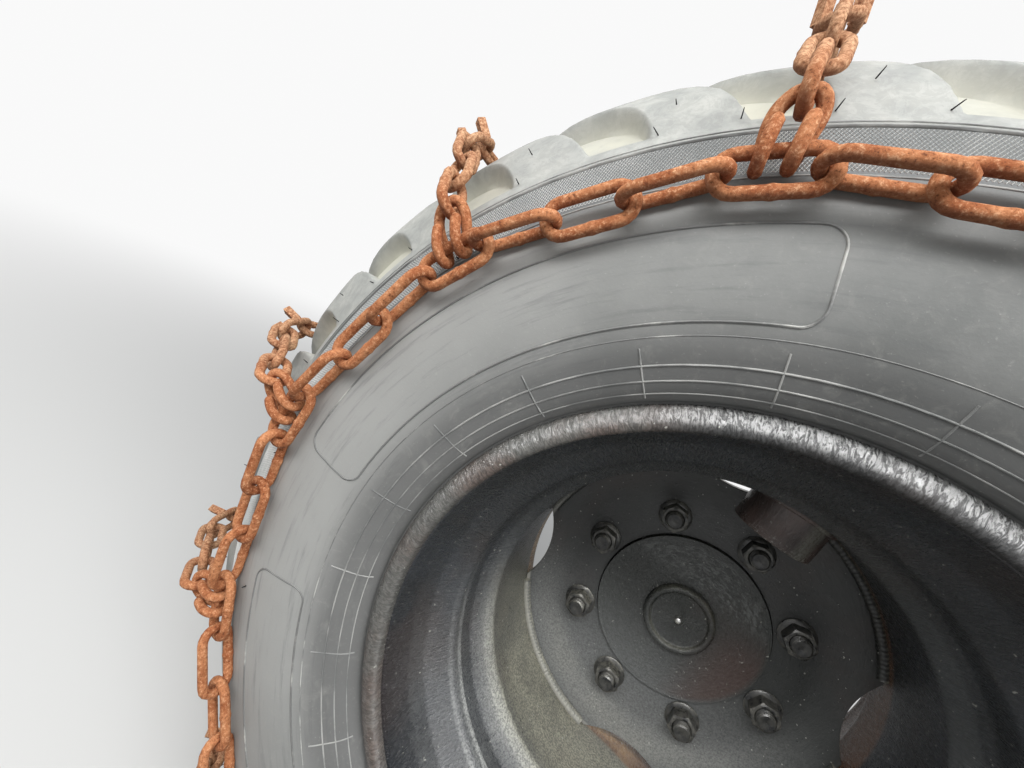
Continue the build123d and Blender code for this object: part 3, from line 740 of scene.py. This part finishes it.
def vent_spews():
    """Thin rubber whiskers left by the mould."""
    build = Build()
    dice = random.Random(7)
    for k in range(LUG_COUNT):
        for offset, radius, half_width in ((-1.9, 537.0, 199.0), (-3.6, 508.0, 212.0), (3.0, 509.0, 211.5)):
            if dice.random() < 0.12:
                continue
            angle = LUG_BASE_ANGLE + k * 360 / LUG_COUNT - offset + dice.uniform(-0.3, 0.3)
            start = round_axle(angle, radius, RIM_MID_Y - half_width)
            out = round_axle(angle, 1.0)
            side = np.cross(out, (0, 1, 0))
            length = dice.uniform(3.5, 9.0)
            way = out * dice.uniform(0.2, 0.8) + (0, -0.8, 0) + side * dice.uniform(-0.4, 0.4)
            way /= np.linalg.norm(way)
            path = [start + way * length * t for t in (-0.1, 0.4, 0.75, 1.0)]
            build.add(*tube(path, [0.55, 0.5, 0.42, 0.25], 5, False))
    for k in range(20):
        angle = 94.0 + 18 * k + dice.uniform(-3, 3)
        radius = 452.0 if k % 2 else 430.0
        start = on_sidewall(angle, radius)
        path = [start - (0, length, 0) for length in (-0.5, 1.5, 3.0, 4.5)]
        build.add(*tube(path, [0.8, 0.7, 0.6, 0.4], 6, False))
    build.piece("tyre_vent_spews", seal, 60.0)


tyre_surface()
rings()
knurled_band()
panels()
vent_spews()


# Side chains

def side_joint(number):
    """Where two side links meet, in the wheel's plane."""
    number %= SIDE_LINK_COUNT
    hooked = number % 4 in (0, 1) and number <= 4 * (CROSS_COUNT - 1) + 1
    radius = HOOKED_JOINT_RADIUS if hooked else SLACK_JOINT_RADIUS
    return round_axle(SIDE_FIRST_ANGLE + 360 * (number + 0.5) / SIDE_LINK_COUNT, radius)


def side_chain(side, name, node):
    """Side links round one sidewall, each through the next."""
    build = Build()
    dice = random.Random(21 + side)
    for i in range(SIDE_LINK_COUNT):
        start, end = side_joint(i), side_joint(i - 1)
        length = np.linalg.norm(end - start)
        along = (end - start) / length
        turn = np.stack([along, (0, 1, 0), np.cross(along, (0, 1, 0))], axis=1)
        flat = i % 2 == 1
        tilt = -side * (85 + dice.uniform(-5, 5)) if flat else side * (3 + dice.uniform(-5, 5))
        weld_low = flat or side > 0
        width = FLAT_HALF_WIDTH if flat else EDGE_HALF_WIDTH
        points, faces = link_shape((length + BAR + 0.5) / 2, 12.5, i)
        points = placed(points, rotation("Z", 180 if weld_low else 0))
        points = placed(points, rotation("X", tilt), (dice.uniform(-0.3, 0.3), 0, 0))
        middle = (start + end) / 2 + (0, RIM_MID_Y + side * width, 0)
        build.add(placed(points, turn, middle), faces)
    build.piece(name, rust, 60.0, node)


side_chain(-1, "outer_side_links", "outer_side_chain")
side_chain(1, "inner_side_links", "inner_side_chain")


# Cross chains

def cross_angles():
    """Angle round the wheel of each cross chain and its hooks."""
    return [SIDE_FIRST_ANGLE + 360 * (1 + 4 * i) / SIDE_LINK_COUNT for i in range(CROSS_COUNT)]


def run_place(s, lean=0.0, foot=0.0):
    """Sideways place, half width and radius at a length along a cross chain from its outboard foot."""
    slope = math.dist(FOOT, RUN_EDGE)
    total = 2 * slope + 2 * RUN_EDGE[0]
    near = min(s, total - s)
    if near < slope:
        t = near / slope
        w, r = FOOT[0] + (RUN_EDGE[0] - FOOT[0]) * t, FOOT[1] + (RUN_EDGE[1] - FOOT[1]) * t
    else:
        w, r = RUN_EDGE[0] - (near - slope), RUN_EDGE[1]
    return np.array((foot + (lean - foot) * min(1.0, near / slope), -w if s < total / 2 else w, r))


def ear(side, lean, dice):
    """Square bar that stands on one side of a cross link."""
    tip = 21.5 + dice.uniform(-1.0, 1.0)
    path = [(0.06 * t, side * 12.0, t) for t in (-1.0, 3.0, 0.6 * tip, tip - 1.0, tip)]
    points, faces = tube(path, [6.1, 6.1, 6.1, 6.1, 5.4], 4, False, square=True)
    return placed(points, rotation("X", lean)), faces


def cross_chains():
    """Cross chains from hook to hook, every other link on edge, with pairs of square ears."""
    total = 2 * math.dist(FOOT, RUN_EDGE) + 2 * RUN_EDGE[0]
    pitch = (total + BAR) / CROSS_LINK_COUNT
    build = Build()
    ears = Build()
    dice = random.Random(5)
    for number, angle in enumerate(cross_angles()):
        lie = CROSS_LEAN[number], HOOK_LEAN[number]
        for k in range(CROSS_LINK_COUNT):
            start = run_place(-BAR / 2 + pitch * k, *lie)
            end = run_place(-BAR / 2 + pitch * (k + 1), *lie)
            if k == 0:
                start = 2 * run_place(0.0, *lie) - run_place(BAR / 2, *lie)
            if k == CROSS_LINK_COUNT - 1:
                end = 2 * run_place(total, *lie) - run_place(total - BAR / 2, *lie)
            along = (end - start) / np.linalg.norm(end - start)
            out = np.cross((1, 0, 0), along)
            out /= np.linalg.norm(out)
            across = np.cross(out, along)
            middle = (start + end) / 2 + (0, RIM_MID_Y, 0)
            roll = (90 if k % 2 == 0 else 0) + dice.uniform(-7, 7)
            points, faces = link_shape((pitch + BAR + 0.4) / 2, 11.5, number * CROSS_LINK_COUNT + k)
            points = placed(points, rotation("Z", 180 if dice.random() < 0.5 else 0))
            points = placed(points, rotation("X", roll))
            points = placed(points, np.stack([along, across, out], axis=1), middle)
            build.add(placed(points, at_angle(angle)), faces)
            if k in EAR_LINKS:
                lean = {0: 8, 1: 6}.get(number, dice.uniform(-6, 6))
                rise = out + (0, 0, 1.0)
                rise -= rise.dot(across) * across
                rise /= np.linalg.norm(rise)
                upright = np.stack([np.cross(across, rise), across, rise], axis=1)
                for side in (-1, 1):
                    points, faces = ear(side, lean, dice)
                    points = placed(points, upright, middle + out * 3.5)
                    ears.add(placed(points, at_angle(angle)), faces)
    build.piece("cross_chain_links", rust, 60.0, "cross_chains")
    ears.piece("square_stud_ears", rust, 30.0, "stud_ears")


def smooth_path(points, steps=3):
    """Catmull-Rom curve through points."""
    points = [np.array(p, float) for p in points]
    points = [2 * points[0] - points[1]] + points + [2 * points[-1] - points[-2]]
    path = []
    for i in range(1, len(points) - 2):
        p0, p1, p2, p3 = points[i - 1:i + 3]
        for k in range(steps):
            t = k / steps
            path.append(0.5 * (2 * p1 + (p2 - p0) * t + (2 * p0 - 5 * p1 + 4 * p2 - p3) * t * t
                               + (3 * p1 - p0 - 3 * p2 + p3) * t ** 3))
    path.append(points[-2])
    return path


def hooks(side, name, node):
    """Hairpin hooks: an eye round the cross chain, two legs behind the side link and up in front."""
    build = Build()
    dice = random.Random(11 + side)
    drop = BAR + 0.4
    back, front = HOOK_HALF_WIDTH - drop, HOOK_HALF_WIDTH + drop
    low = HOOK_RADIUS - drop
    lean = (FOOT[0] + 0.4 - back) / (FOOT[1] - low)
    for angle, foot in zip(cross_angles(), HOOK_LEAN):
        spread = dice.uniform(-0.6, 0.6)
        tail = dice.uniform(-2.0, 2.0)
        half = [
            (9.0 + spread, front - 3.4, low + 27.0 + tail), (9.0 + spread, front - 0.6, low + 19.0),
            (8.8, front + 0.4, low + 10.0), (8.6, front - 2.4, low + 2.2),
            (8.6, HOOK_HALF_WIDTH, low - 0.6), (9.0, back + 2.2, low + 2.4),
            (10.0, back + 9.0 * lean, low + 10.0), (12.0, back + 20.0 * lean, low + 20.0),
            (12.9, back + 29.0 * lean, low + 29.0), (11.2, back + 36.0 * lean, low + 36.5),
            (6.8, back + 42.0 * lean, low + 41.8), (2.2, FOOT[0] + 0.4, FOOT[1] + 0.4),
        ]
        whole = half + [(-x, w, r) for x, w, r in half[::-1]]
        rise = FOOT[1] - low
        path = smooth_path([(x + foot * (r - low) / rise, RIM_MID_Y + side * w, r) for x, w, r in whole])
        radii = [BAR / 2 * (1 + 0.03 * (dice.random() - 0.5)) for p in path]
        radii[0] = radii[-1] = 0.72 * BAR / 2
        points, faces = tube(path, radii, 10, False)
        build.add(placed(points, at_angle(angle)), faces)
    build.piece(name, rust, 60.0, node)


cross_chains()
hooks(-1, "outer_hook_bars", "outer_hooks")
hooks(1, "inner_hook_bars", "inner_hooks")


# Rim, disc and hub

def rim():
    """Barrel with its well, and the two rolled lips."""
    skin = [(20, 0), (67, 14), (98, 36), (128, 38), (158, 56), (310, 56), (365, 14), (412, 0)]
    inner = [(RIM_OUTER_Y + depth, RIM_BORE_RADIUS - drop) for depth, drop in skin]
    lip = [(12.3, 277.3), (8.0, 276.8), (4.0, 277.3), (1.6, 278.8), (0.3, 281.2), (0.0, 284.2),
           (0.7, 288.0), (2.3, 291.8), (4.4, 295.2), (6.8, 297.5), (9.6, 298.4), (12.5, 297.6),
           (14.0, 294.5), (13.6, 290.5), (12.0, 287.0)]
    front = [(RIM_OUTER_Y + depth, r) for depth, r in smooth_path(lip)]
    groove = [(RIM_OUTER_Y + depth, r) for depth, r in ((13.6, 279.4), (16.2, 279.6), (17.4, 277.2))]
    back = [(2 * RIM_MID_Y - y, r) for y, r in front]
    outer = [(y, r + RIM_WALL) for y, r in inner[::-1]]
    build = Build()
    build.add(*lathe(front[::-1] + groove + rounded(inner, 3.5) + back + outer, 288))
    made = build.piece("rim_shell", rim_paint, 35.0, "rim_barrel")
    made.data.materials.append(lip_paint)
    for face in made.data.polygons:
        if face.center.y < (RIM_OUTER_Y + LIP_DEPTH) * MM:
            face.material_index = 1


def disc_edge(angle):
    """Outer radius of the disc at an angle, less in the four scallops."""
    centre = WELL_RADIUS - SCALLOP_DEPTH + SCALLOP_RADIUS
    edge = WELL_RADIUS - 0.3
    turn = math.radians((angle - SCALLOP_FIRST_ANGLE + 45) % 90 - 45)
    inside = SCALLOP_RADIUS ** 2 - (centre * math.sin(turn)) ** 2
    if inside > 0:
        edge = min(edge, centre * math.cos(turn) - math.sqrt(inside))
    return edge


def disc():
    """Dished plate, its outer edge bevelled."""
    radii, dish = (110, 160, 168, 176, 198, 205, 212, 221), (0, 0, 1.2, 3.2, 10.4, 12.0, 13.0, 13.4)
    angles = np.arange(720) / 2.0
    edges = np.array([disc_edge(a) for a in angles])
    shares = [0.0, 0.2, 0.42, 0.5, 0.56, 0.62, 0.7, 0.78, 0.86, 0.92, 0.965, 0.99, 1.0]
    rows = []
    for y, bevel, order in ((DISC_FRONT_Y, 1.2, shares),
                            (DISC_FRONT_Y + DISC_THICKNESS, -1.2, shares[::-1])):
        for share in order:
            radius = SPIGOT_BORE_RADIUS + (edges - SPIGOT_BORE_RADIUS) * share
            place = y - np.interp(radius, radii, dish) + (bevel if share == 1.0 else 0.0)
            rows.append(round_axle(angles, radius, place))
    build = Build()
    build.add(np.concatenate(rows), grid_faces(len(rows), len(angles), wrap_rows=True))
    build.piece("disc_plate", disc_paint, 35.0, "wheel_disc")


def weld_bead(build, path, radius, seed):
    """Rippled weld along a path, each ripple a few millimetres long."""
    dice = random.Random(seed)
    path = np.asarray(path, float)
    lengths = np.concatenate([[0], np.cumsum(np.linalg.norm(np.diff(path, axis=0), axis=1))])
    spots = np.linspace(0, lengths[-1], max(4, int(lengths[-1] / 1.6)))
    fine = np.stack([np.interp(spots, lengths, path[:, i]) for i in range(3)], axis=1)
    radii = []
    for s in spots:
        ripple = 0.5 + 0.5 * math.cos(2 * math.pi * (s % 5.2) / 5.2)
        radii.append(radius * (0.86 + 0.14 * ripple + 0.06 * dice.random()))
    build.add(*tube(fine, radii, 8, False))


def disc_welds():
    """Weld between the disc's edge and the well, broken at the scallops."""
    build = Build()
    for k in range(4):
        scallop = SCALLOP_FIRST_ANGLE + 90 * k
        angles = np.linspace(scallop + 16.5, scallop + 73.5, 60)
        weld_bead(build, round_axle(angles, WELL_RADIUS - 3.0, DISC_FRONT_Y - 16.5), 6.4, k)
    build.piece("disc_weld", disc_paint, 50.0)


def stud_rings(degrees, rows):
    """Rings round the axis of a stud at the top of its circle, from (y, radius) rows."""
    a = np.radians(degrees)
    rings = []
    for y, radius in rows:
        y, radius = np.broadcast_to(y, a.shape), np.broadcast_to(radius, a.shape)
        rings.append(np.stack([radius * np.cos(a), y, STUD_CIRCLE_RADIUS + radius * np.sin(a)], 1))
    return np.concatenate(rings)


def nuts_and_studs():
    """Flanged nuts, and studs with a thread in front and a head behind the hub's flange."""
    nuts = Build()
    studs = Build()
    dice = random.Random(3)
    degrees = np.arange(72) * 5.0
    hexagon = NUT_FLAT_RADIUS * np.minimum(1 / np.cos(np.radians((degrees % 60) - 30)), 1.135)
    chamfer = np.maximum(0, hexagon - 15.6) * 0.75
    nut = [(0.0, 12.2), (0.0, 21.6), (0.8, 22.0), (2.6, 22.0), (4.2, np.maximum(hexagon, 20.0)),
           (5.0, hexagon + 0.4), (6.0, hexagon), (NUT_TOP - chamfer, hexagon), (NUT_TOP, 15.2),
           (NUT_TOP, 12.6), (NUT_TOP - 1.4, 11.3), (10.0, 11.3), (0.0, 11.6)]
    thread = [(0.0, 0.0), (0.0, 10.6)]
    for k in range(8):
        depth = 17.0 + 1.5 * k
        thread += [(depth, 9.9), (depth + 0.5, 10.9), (depth + 0.9, 10.9)]
    thread += [(28.8, 10.3), (29.9, 9.0), (30.0, 6.0), (29.2, 3.0), (29.0, 0.4)]
    nut, thread = ([(DISC_FRONT_Y - height, r) for height, r in rows] for rows in (nut, thread))
    head = [(HUB_FLANGE_BACK_Y + y, r) for y, r in (
        (-30.0, 11.0), (0.0, 11.0), (0.0, 16.4), (1.2, 17.0), (6.6, 17.0), (8.0, 15.4), (8.0, 0.4))]
    for k in range(8):
        turn = at_angle(STUD_FIRST_ANGLE + 45 * k)
        points = stud_rings(degrees + dice.uniform(0, 60), nut)
        nuts.add(placed(points, turn), grid_faces(len(nut), len(degrees), wrap_rows=True))
        for rows in (thread, head):
            points = stud_rings(np.arange(40) * 9.0, rows)
            studs.add(placed(points, turn), grid_faces(len(rows), 40))
    nuts.piece("flanged_nuts", steel, 28.0, "wheel_nuts")
    studs.piece("threaded_studs", steel, 28.0, "wheel_studs")


def cap():
    """Rolled cap in the hub, and the grease nipple in its middle."""
    shapes = (
        ("rolled_hub_cap", "hub_paint", hub_paint, "hub_cap", 120, (
            (14.0, 0.6), (14.0, 44.0), (-1.0, 45.6), (-5.0, 45.8), (-7.6, 44.8), (-9.4, 42.6),
            (-10.0, 40.2), (-9.4, 38.2), (-7.8, 36.8), (-5.8, 36.2), (-5.2, 35.6), (-5.0, 34.0),
            (-5.0, 20.0), (-5.2, 8.0), (-5.2, 0.3))),
        ("cap_nipple", "stud_steel", zinc, None, 32, (
            (-4.8, 5.6), (-6.6, 5.4), (-8.8, 4.4), (-10.2, 2.4), (-10.6, 0.2))),
    )
    for name, slot, material, node, segments, profile in shapes:
        build = Build()
        build.add(*lathe([(HUB_FACE_Y + y, r) for y, r in profile], segments, closed=False))
        build.piece(name, material, 50.0, node)


def guard():
    """Short pipe that shields the valve, welded to the well."""
    centre_y = DISC_FRONT_Y - GUARD_BEFORE_DISC
    outer, bore, end = GUARD_RADIUS, GUARD_BORE_RADIUS, GUARD_OPEN_END
    a = np.radians(np.arange(96) * 3.75)
    rows = []
    for radius, level in ((outer, None), (outer, 200.0), (outer, end + 2.0), (outer - 0.5, end + 0.6),
                          (outer - 1.5, end), (bore + 1.4, end), (bore + 0.4, end + 0.6),
                          (bore, end + 2.0), (bore, 200.0), (bore, None)):
        x = radius * np.cos(a)
        z = np.sqrt((WELL_RADIUS - 0.4) ** 2 - x ** 2) if level is None else np.full(len(a), level)
        rows.append(np.stack([x, centre_y + radius * np.sin(a), z], 1))
    build = Build()
    build.add(np.concatenate(rows), grid_faces(len(rows), len(a), wrap_rows=True))
    ring = []
    for a in np.linspace(0, 2 * math.pi, 181):
        x, y = (GUARD_RADIUS + 1.0) * math.cos(a), (GUARD_RADIUS + 1.0) * math.sin(a)
        ring.append((x, centre_y + y, math.sqrt((WELL_RADIUS - 2.0) ** 2 - x ** 2)))
    weld_bead(build, ring, 3.6, 9)
    build.piece("valve_guard_pipe", guard_paint, 40.0, "valve_guard")


rim()
disc()
disc_welds()
nuts_and_studs()
cap()
guard()


# Finishes of the CAD nodes that stay

for node, material in (
        ("axle_flange", axle_paint), ("stub_axle", axle_paint), ("flange_gussets", axle_paint),
        ("axle_seal", seal), ("hub_shell", hub_paint), ("valve_stem", brass)):
    made = frame["nodes"][node]
    made.data.materials.clear()
    made.data.materials.append(material)


# Floor, light and camera

def floor():
    """Pale floor that keeps the shadow and fades into the background away from the wheel."""
    half = 9.0
    low = cad_box[0][2]
    corners = [(x * half, y * half, low) for x, y in ((-1, -1), (1, -1), (1, 1), (-1, 1))]
    mesh = bpy.data.meshes.new("floor")
    mesh.from_pydata(corners, [], [(0, 1, 2, 3)])
    made = linked("floor", mesh)
    n = Paint("pale_floor", roughness=0.9, specular=0.2)
    ray = n.new("ShaderNodeLightPath").outputs["Is Camera Ray"]
    n.feed(n.shader, ("Base Color", n.mix(ray, (0.34, 0.34, 0.335), (0.72, 0.72, 0.71))))
    far = n.new("ShaderNodeVectorMath", (0, n.place), operation="LENGTH").outputs["Value"]
    seen = n.times(n.ramp(far, 1.3, 3.4), ray)
    white = n.new("ShaderNodeEmission", ("Color", (0.95, 0.95, 0.95)))
    n.show(seen, n.shader.outputs["BSDF"], white.outputs["Emission"], "Material Output")
    mesh.materials.append(n.material)


def world():
    """Soft light, seen as a plain pale background by the camera and in reflections."""
    scene.world = bpy.data.worlds.new("studio")
    n = Nodes(scene.world)
    light = n.tree.nodes["Background"]
    n.feed(light, ("Color", (0.94, 0.97, 1.0)), ("Strength", 0.26))
    white = n.new("ShaderNodeBackground", ("Color", (0.95, 0.95, 0.95)))
    rays = n.new("ShaderNodeLightPath").outputs
    seen = n.math("MAXIMUM", rays["Is Camera Ray"], rays["Is Transmission Ray"])
    seen = n.math("MAXIMUM", seen, rays["Is Glossy Ray"])
    n.show(seen, light.outputs["Background"], white.outputs["Background"], "World Output")


def lamp(name, place, target, size, power, colour=(1.0, 1.0, 1.0), roll=0.0):
    """Soft rectangular light, aimed at a target and rolled about its aim."""
    data = bpy.data.lights.new(name, "AREA")
    data.shape = "RECTANGLE"
    data.size, data.size_y = size
    data.energy = power
    data.color = colour
    made = linked(name, data)
    made.location = place
    aim = (Vector(target) - Vector(place)).to_track_quat("-Z", "Y").to_matrix()
    made.rotation_euler = (aim @ Matrix.Rotation(math.radians(roll), 3, "Z")).to_euler()


def camera():
    """The photograph's camera, solved from the rim and the studs."""
    data = bpy.data.cameras.new("photo_camera")
    data.lens = 14.44
    data.sensor_width = 36.0
    data.sensor_fit = "HORIZONTAL"
    data.clip_start = 0.01
    made = linked("photo_camera", data)
    right = Vector((0.7623, 0.3855, 0.5199)).normalized()
    forward = Vector((-0.3342, 0.9223, -0.1939))
    forward = (forward - forward.dot(right) * right).normalized()
    turn = Matrix((right, right.cross(forward), -forward)).transposed().to_4x4()
    made.matrix_world = Matrix.Translation((-0.1635, -0.8557, 0.2574)) @ turn
    scene.camera = made


floor()
world()
lamp("sky_over", (-0.3, -1.3, 3.2), (0.0, -0.3, 0.1), (3.6, 2.6), 24.0, (0.96, 0.98, 1.0))
lamp("sky_front_left", (-0.63, -1.97, 1.48), (0.05, -0.5, 0.28), (1.7, 0.5), 22.0, roll=38.0)
lamp("sky_front_right", (0.55, -1.74, 1.81), (0.05, -0.5, 0.28), (2.4, 0.55), 36.0)
lamp("sky_right", (2.6, -2.2, 1.8), (0.0, -0.4, 0.0), (2.0, 2.0), 34.0)
lamp("sky_left", (-2.8, -1.8, 1.2), (0.0, -0.4, 0.0), (2.0, 2.0), 26.0, (1.0, 0.98, 0.95))
camera()
scene.view_settings.view_transform = "Standard"
